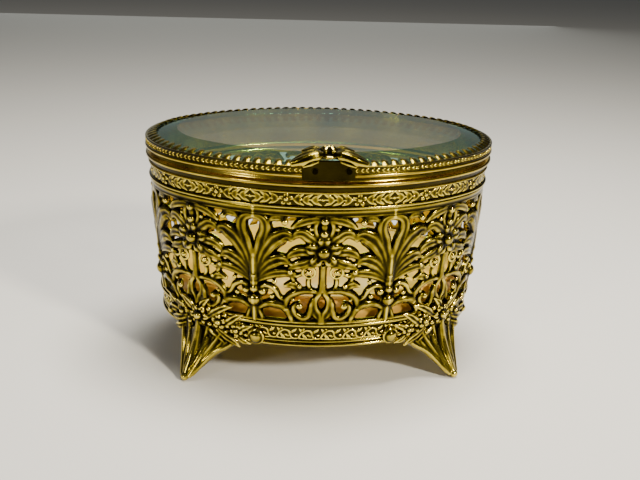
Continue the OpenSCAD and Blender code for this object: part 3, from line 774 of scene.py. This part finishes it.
bpy.data.objects.remove(tooth)
smoothShade(prongs, 60)
# painted light: prong faces turned upwards are made lighter and those turned down darker, as if lit from above
writeReliefAndShade(prongs, 0.46 + 0.22 * np.clip(vertexNormals(prongs)[:, 2], -0.6, 1))
place(prongs, antiqueGilt, "lid")
print("prongs:", len(prongs.data.polygons), "faces")

# glass


def closedOval(name, rows):  # an open outline spun round, its two flat openings filled
    obj = spunRing(name, rows, False)
    pick(obj)
    bpy.ops.object.mode_set(mode="EDIT")
    bpy.ops.mesh.select_all(action="SELECT")
    bpy.ops.mesh.fill_holes(sides=0)
    bpy.ops.mesh.normals_make_consistent(inside=False)
    bpy.ops.object.mode_set(mode="OBJECT")
    return obj


glass = {"thick": 4.0, "edge": 1.7, "bevel": 10.0, "arris": 0.15}
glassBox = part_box("lid_glass")
foot = glassBox[0].z / mm
edge = glassBox[1].x / mm - oval["endCentre"] - oval["endRadius"]
pane = closedOval("lidGlassPane", [
    (edge - glass["arris"], foot), (edge, foot + glass["arris"]), (edge, foot + glass["edge"] - glass["arris"]),
    (edge - glass["arris"], foot + glass["edge"]), (edge - glass["bevel"], foot + glass["thick"])])
smoothShade(pane, 9)
place(pane, bevelledGlass, "lid", ["lid_glass"])
pane.data.materials.append(bevelGlass)
for face in pane.data.polygons:  # the sloping cut is the only slanted face
    if 0.4 < face.normal.z < 0.995 and face.center.z > (foot + glass["edge"]) * mm:
        face.material_index = 1
print("glass made")

# cabriole feet with flower sprays

footLook = {"run": 50.0, "voxel": 0.25}


def footParts():  # x towards the middle of the side, y height, z out from the wall
    ridges = [
        [(-7.6, 22.0, 1.0, 0.6), (-6.9, 16.5, 1.4, 1.4), (-5.2, 10.5, 1.35, 3.8), (-3.0, 5.0, 1.15, 7.4),
         (-1.6, 1.6, 0.8, 10.2)],
        [(0.8, 23.0, 1.4, 0.9), (0.4, 16.5, 1.8, 2.0), (0.1, 10.5, 1.6, 4.6), (0, 5.0, 1.35, 8.2),
         (0, 1.3, 1.0, 11.0)],
        [(10.5, 19.0, 0.9, 0.6), (7.4, 14.6, 1.4, 1.4), (4.6, 10.0, 1.3, 4.0), (2.7, 5.0, 1.1, 7.6),
         (1.5, 1.6, 0.8, 10.4)],
        [(17.0, 17.0, 0.7, 0.4), (12.6, 13.6, 1.2, 1.0), (8.2, 10.8, 1.2, 2.8), (4.6, 6.4, 1.0, 6.0),
         (2.2, 2.2, 0.7, 9.4)],
        [(-4.2, 22.0, 2.0, -0.4), (-3.4, 14.0, 2.1, 1.2), (-2.3, 8.5, 1.7, 4.4), (-1.0, 2.6, 1.1, 9.1)],
        [(4.6, 20.0, 2.1, -0.4), (3.4, 14.0, 2.1, 1.2), (2.1, 8.5, 1.7, 4.4), (1.0, 2.6, 1.1, 9.1)],
        [(0, 18.0, 3.2, -0.2), (0, 12.0, 2.9, 2.0), (0, 6.0, 2.3, 5.9), (0, 2.2, 1.7, 9.2)],
        [(-3.4, 17.0, 2.4, 0.2), (-2.8, 11.0, 2.1, 2.9), (-1.5, 5.0, 1.6, 7.2), (-0.6, 2.0, 1.3, 9.6)],
        [(4.6, 15.5, 2.6, 0.2), (3.4, 10.6, 2.3, 2.9), (1.7, 5.0, 1.7, 7.2), (0.7, 2.0, 1.3, 9.6)],
        [(10.4, 15.0, 2.2, -0.3), (7.0, 10.6, 1.9, 2.2), (3.6, 5.8, 1.5, 6.0)],
        [(-5.6, 20.0, 2.1, -0.6), (-4.7, 13.0, 1.9, 1.4), (-3.1, 7.5, 1.5, 5.0), (-1.5, 2.8, 1.0, 8.9)],
        [(7.8, 17.6, 2.3, -0.6), (5.6, 12.6, 2.1, 1.3), (3.5, 7.5, 1.7, 4.9), (1.6, 2.8, 1.0, 8.9)],
        [(13.0, 15.8, 1.9, -0.5), (9.4, 12.4, 1.8, 1.0), (5.9, 8.4, 1.4, 4.0)],
    ]
    stems = [
        [(1, 23.0, 0.9, 0.6), (8, 20.6, 0.8, 0.5), (16, 20.0, 0.7, 0.4), (25, 19.8, 0.7, 0.3)],
        [(-1, 23.0, 0.9, 0.6), (-7, 23.6, 0.7, 0.4), (-13, 22.4, 0.6, 0.3)],
    ]
    strokes = ridges + stems
    for points in (
        [(2.5, 20.5, 1.0, 0.8), (6.5, 17.4, 1.7, 0.9), (10.0, 15.6, 1.5, 0.9), (13.4, 13.2, 0.5, 1.2)],
        [(8.5, 20.2, 0.9, 0.7), (12.5, 18.0, 1.5, 0.9), (15.6, 16.4, 1.2, 0.9), (18.2, 14.4, 0.4, 1.0)],
        [(10.5, 21.6, 0.8, 0.7), (14.0, 24.4, 1.4, 0.8), (17.0, 26.8, 1.1, 0.7), (19.6, 27.8, 0.4, 0.5)],
        [(5.0, 24.5, 0.9, 0.8), (8.6, 27.4, 1.4, 0.9), (12.2, 29.6, 1.1, 0.7), (15.2, 30.2, 0.4, 0.5)],
        [(16.5, 20.4, 0.7, 0.6), (19.6, 22.6, 1.2, 0.7), (23.2, 23.9, 0.4, 0.4)],
        [(16.5, 19.6, 0.7, 0.6), (19.4, 17.4, 1.1, 0.8), (22.6, 16.4, 0.4, 0.6)],
        [(-1.5, 25.5, 0.9, 0.8), (-4.6, 28.6, 1.4, 0.9), (-8.2, 30.2, 0.5, 0.6)],
        [(-4.5, 23.6, 0.8, 0.7), (-8.6, 26.0, 1.4, 0.8), (-12.6, 26.6, 0.5, 0.5)],
        [(-5.0, 22.2, 1.0, 0.8), (-9.4, 20.6, 1.7, 1.3), (-14.4, 19.4, 0.6, 1.0)],
        [(-5.4, 19.0, 1.0, 1.2), (-8.8, 17.2, 1.5, 1.8), (-12.4, 16.4, 0.5, 1.4)],
        [(-9.0, 22.8, 1.0, 0.8), (-13.2, 23.4, 1.6, 1.1), (-17.0, 22.2, 0.6, 0.8)],
        [(-11.0, 24.6, 0.8, 0.7), (-14.0, 27.0, 1.2, 0.8), (-16.8, 27.4, 0.4, 0.5)],
        [(1.0, 26.0, 0.8, 0.8), (2.8, 29.4, 1.2, 0.8), (5.4, 31.6, 0.4, 0.5)],
    ):
        strokes += leaf(points)
    strokes += flower(1.0, 24.2, 6, 4.2, 1.6, 60, 1.4)
    strokes += flower(9.6, 23.4, 5, 3.1, 1.2, 90, 1.2)
    strokes += flower(-7.6, 23.6, 5, 3.0, 1.1, 90, 1.0)
    strokes += flower(16.8, 21.2, 5, 2.7, 1.0, 54, 1.0)
    solids = [
        ball(1.0, 24.2, 1.7, 2.1), ball(9.6, 23.4, 1.3, 1.7), ball(-7.6, 23.6, 1.2, 1.5),
        ball(16.8, 21.2, 1.1, 1.4), ball(24.4, 19.9, 2.5, 0.7, 0.7), ring(24.4, 19.9, 2.7, 0.55, 0.7),
        ball(-14.6, 21.6, 1.6, 1.2), ball(5.6, 21.6, 1.0, 1.2), ball(13.2, 22.2, 0.8, 1.0),
        ball(5.2, 27.6, 0.9, 1.0), ball(-3.6, 20.6, 1.0, 1.4), ball(20.6, 20.0, 0.8, 0.7),
        ball(12.2, 26.4, 0.8, 0.8), ball(0, 1.5, 1.5, 10.7), ball(-10.6, 23.0, 0.8, 0.7),
        ball(12.6, 19.9, 0.8, 1.0)]
    return strokes, solids


strokes, solids = footParts()
unit = forge("footUnit", strokes, solids, footLook["voxel"], 1.0, None, 3)
p = getPoints(unit)
lean = np.clip((15.0 - p[:, 1]) / 15.0, 0, 1)  # below the band the back of the leg stays solid
p[:, 2] = np.maximum(p[:, 2], -0.4 - 3.0 * lean)
p[:, 1] = np.maximum(p[:, 1], 0.02)
setPoints(unit, p)
smoothShade(unit, 60)
markReliefAndShade(unit)
wornAndShaded = np.zeros(len(p), np.float32)  # the smooth lower leg is rubbed bright
unit.data.attributes["relief_and_shade"].data.foreach_get("value", wornAndShaded)
low = np.clip((17.0 - p[:, 1]) / 5.0, 0, 1)
wornAndShaded += low * (np.clip(0.42 + 0.5 * wornAndShaded, 0.55, 0.92) - wornAndShaded)
unit.data.attributes["relief_and_shade"].data.foreach_set("value", wornAndShaded.astype(np.float32))
halfTrip = roundTrip / 2
for name, run, flip in (
    ("foot_front_right", footLook["run"], -1), ("foot_front_left", -footLook["run"], 1),
    ("foot_rear_right", halfTrip - footLook["run"], 1), ("foot_rear_left", halfTrip + footLook["run"], -1)):
    legPiece = copyOf(unit, name.replace("foot_", "leg_"))
    wrapOn(legPiece, run, 0.1, flip)
    place(legPiece, antiqueGilt, "casket", [name])
print("feet:", len(unit.data.polygons), "faces each")
bpy.data.objects.remove(unit)

# thumb ornament and its strap

thumb = {"shift": -1.0, "voxel": 0.2}
strokes = []
for side in (-1, 1):
    for points in (
        [(1.2, -47.2, 1.3, 89.4), (4.8, -49.2, 2.5, 89.9), (9.0, -50.3, 2.4, 88.6), (13.0, -51.0, 1.4, 87.2)],
        [(4.0, -50.2, 1.2, 88.4), (6.8, -51.2, 1.4, 87.6), (9.0, -51.8, 0.8, 86.6)],
        [(1.2, -45.8, 1.2, 89.8), (4.8, -45.0, 2.1, 90.4), (8.8, -44.4, 1.0, 89.9)],
    ):
        strokes += leaf([(side * x, y, r, z) for x, y, r, z in points], 0.5, 0.74)
for i in range(5):
    turn = math.radians(90 + 72 * i)
    c, s = math.cos(turn), math.sin(turn)
    strokes.append([(2.4 * c, -47.2 + 2.4 * s, 0.7, 89.4), (2.3 * c, -47.2 + 2.3 * s, 0.95, 91.0),
                    (0.9 * c, -47.2 + 0.9 * s, 0.6, 92.3)])
solids = [ball(0, -47.2, 2.2, 90.3), ball(0, -47.2, 1.0, 91.8), ring(0, -47.2, 2.9, 0.6, 89.2),
          ball(0, -47.2, 3.4, 89.2, 0.3)]
ornament = forge("thumbOrnament", strokes, solids, thumb["voxel"], 1.0, None, 3)
p = getPoints(ornament)
p[:, 0] += thumb["shift"]
setPoints(ornament, p * mm)
smoothShade(ornament, 60)
# painted light: faces turned upwards, leaning a little to the back, are made lighter, as if lit from above
markReliefAndShade(ornament, 3, 0.3, (0, 0.3, 0.95))
place(ornament, antiqueGilt, "lid", ["thumb_ornament"])

strap = flatGrid("thumbStrap", 15)
p = getPoints(strap)
setPoints(strap, np.stack([p[:, 0] * 17.2, 84.9 + p[:, 1] * 6.9, 0 * p[:, 0]], 1))
applyModifier(strap, "SOLIDIFY", thickness=0.75, offset=1)
applyModifier(strap, "BEVEL", width=0.18, segments=2, limit_method="ANGLE")
p = getPoints(strap)
setPoints(strap, onOval(thumb["shift"] + p[:, 0], p[:, 2] + 0.02, p[:, 1]) * mm)
closeUp(strap, 0)
smoothShade(strap, 40)
writeReliefAndShade(strap, np.full(len(strap.data.vertices), 0.24))
place(strap, antiqueGilt, "lid", ["thumb_strap"])
print("thumb ornament:", len(ornament.data.polygons), "faces")

# cushion

pad = {"gap": 0.9, "shoulder": 2.5, "voxel": 4.0, "pressure": 6.0, "cap": 2.6}
low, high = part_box("cushion")
edge = high.x / mm - oval["endCentre"] - oval["endRadius"] - pad["gap"]
foot, head = low.z / mm + 0.4, high.z / mm - 0.6
cushion = closedOval("satinCushion", [
    (edge - 1.5, foot), (edge, foot + 1.5), (edge, head - pad["shoulder"]), (edge - pad["shoulder"], head)])
applyModifier(cushion, "REMESH", mode="VOXEL", voxel_size=pad["voxel"] * mm)
rest = getPoints(cushion)
pick(cushion)
bpy.ops.object.modifier_add(type="CLOTH")
cloth = cushion.modifiers[-1]
cloth.settings.use_pressure = True
cloth.settings.uniform_pressure_force = pad["pressure"]
cloth.settings.effector_weights.gravity = 0
cloth.settings.quality = 5
for step in range(1, 21):
    bpy.context.scene.frame_set(step)
swollen = cushion.evaluated_get(bpy.context.evaluated_depsgraph_get())
moved = np.zeros(len(rest) * 3, np.float32)
swollen.data.vertices.foreach_get("co", moved)
move = moved.reshape(-1, 3) - rest
far = np.linalg.norm(move, axis=1)[:, None] + 1e-12
cushion.modifiers.remove(cloth)
setPoints(cushion, rest + move * np.minimum(1, pad["cap"] * mm / far))
bpy.context.scene.frame_set(1)
applyModifier(cushion, "SUBSURF", levels=1, render_levels=1)
p = getPoints(cushion)
p[:, 2] = np.maximum(p[:, 2], low.z + 0.0001)
setPoints(cushion, p)
pick(cushion)
bpy.ops.object.shade_smooth()
place(cushion, satinCloth, "casket", ["cushion"])
piping = spunRing("cushionPiping", arcPoints(edge - 0.4, head - 2.6, 0.8, 0, 324, 10))
pick(piping)
bpy.ops.object.shade_smooth()
place(piping, satinCloth, "casket")
print("cushion padded")

# hinge and hidden parts


def eased(node, name, width, material, body):  # a clean copy of a plain part with its edges eased
    twin = copyOf(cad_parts[node], name)
    for key in list(twin.keys()):
        del twin[key]
    twin.parent = None
    closeUp(twin, 0.005 * mm, False)
    applyModifier(twin, "BEVEL", width=width * mm, segments=2, limit_method="ANGLE")
    smoothShade(twin, 35)
    return place(twin, material, body, [node])


eased("hinge_body_leaf", "hingeBodyLeaf", 0.12, polishedGilt, "casket")
eased("hinge_lid_leaf", "hingeLidLeaf", 0.12, polishedGilt, "lid")
for node, material in (
    ("base_plate", polishedGilt), ("cushion_board", millboard), ("foot_screws", zincSteel),
    ("foot_nuts", zincSteel), ("hinge_pin", zincSteel), ("hinge_body_rivets", polishedGilt),
    ("hinge_lid_rivets", polishedGilt), ("thumb_rivets", antiqueGilt)):
    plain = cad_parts[node].data
    plain.materials.clear()
    plain.materials.append(material)
print("hinge and hidden parts finished")

# floor, light and camera

clearSelection()
bpy.ops.mesh.primitive_plane_add(size=6, location=(0, 0, 0))
floor = bpy.context.object
floor.name = "studioFloor"
# matt pale paper sweep
paleFloor, _, floorShader = newMaterial("pale_paper")
floorShader.inputs["Base Color"].default_value = linear("#cfcdc8")
floorShader.inputs["Roughness"].default_value = 0.85
floor.data.materials.append(paleFloor)

lamps = {  # place, size in metres, watts, tint
    "overheadSoftbox": ((0.06, 0.03, 0.6), 0.26, 8.0, "#fffaf0"),
    "keySoftbox": ((0.5, -0.6, 0.5), 0.1, 11.0, "#fff6e2"),
    "fillSoftbox": ((-0.6, -0.6, 0.4), 0.12, 1.6, "#fff8ee"),
    "backSoftbox": ((0.0, 1.1, 0.5), 1.1, 1.5, "#f2f8f4"),
}
for name, (spot, size, watts, tint) in lamps.items():
    bpy.ops.object.light_add(type="AREA", location=spot)
    lamp = bpy.context.object
    lamp.name = name
    lamp.data.size = size
    lamp.data.energy = watts
    lamp.data.color = linear(tint)[:3]
    lamp.rotation_euler = (Vector((0, 0, 0.045)) - lamp.location).to_track_quat("-Z", "Y").to_euler()

world = bpy.data.worlds.new("studioWorld")
bpy.context.scene.world = world
world.use_nodes = True
world.node_tree.nodes["Background"].inputs["Color"].default_value = linear("#b4b8ba")
world.node_tree.nodes["Background"].inputs["Strength"].default_value = 0.16

view = {"spot": (-0.02915, -0.3306, 0.1609), "yaw": 5.272, "pitch": 19.639, "roll": 1.903, "lens": 49.3}
yaw, pitch, roll = (math.radians(view[k]) for k in ("yaw", "pitch", "roll"))
ahead = Vector((math.sin(yaw) * math.cos(pitch), math.cos(yaw) * math.cos(pitch), -math.sin(pitch)))
right = Vector((math.cos(yaw), -math.sin(yaw), 0))
up = right.cross(ahead)
tiltedRight = right * math.cos(roll) + up * math.sin(roll)
tiltedUp = up * math.cos(roll) - right * math.sin(roll)
bpy.ops.object.camera_add(location=view["spot"])
camera = bpy.context.object
camera.name = "frontCamera"
camera.rotation_euler = Matrix((tiltedRight, tiltedUp, -ahead)).transposed().to_euler()
camera.data.lens = view["lens"]
camera.data.sensor_width = 36
camera.data.clip_start = 0.01
bpy.context.scene.camera = camera
print("stage set")
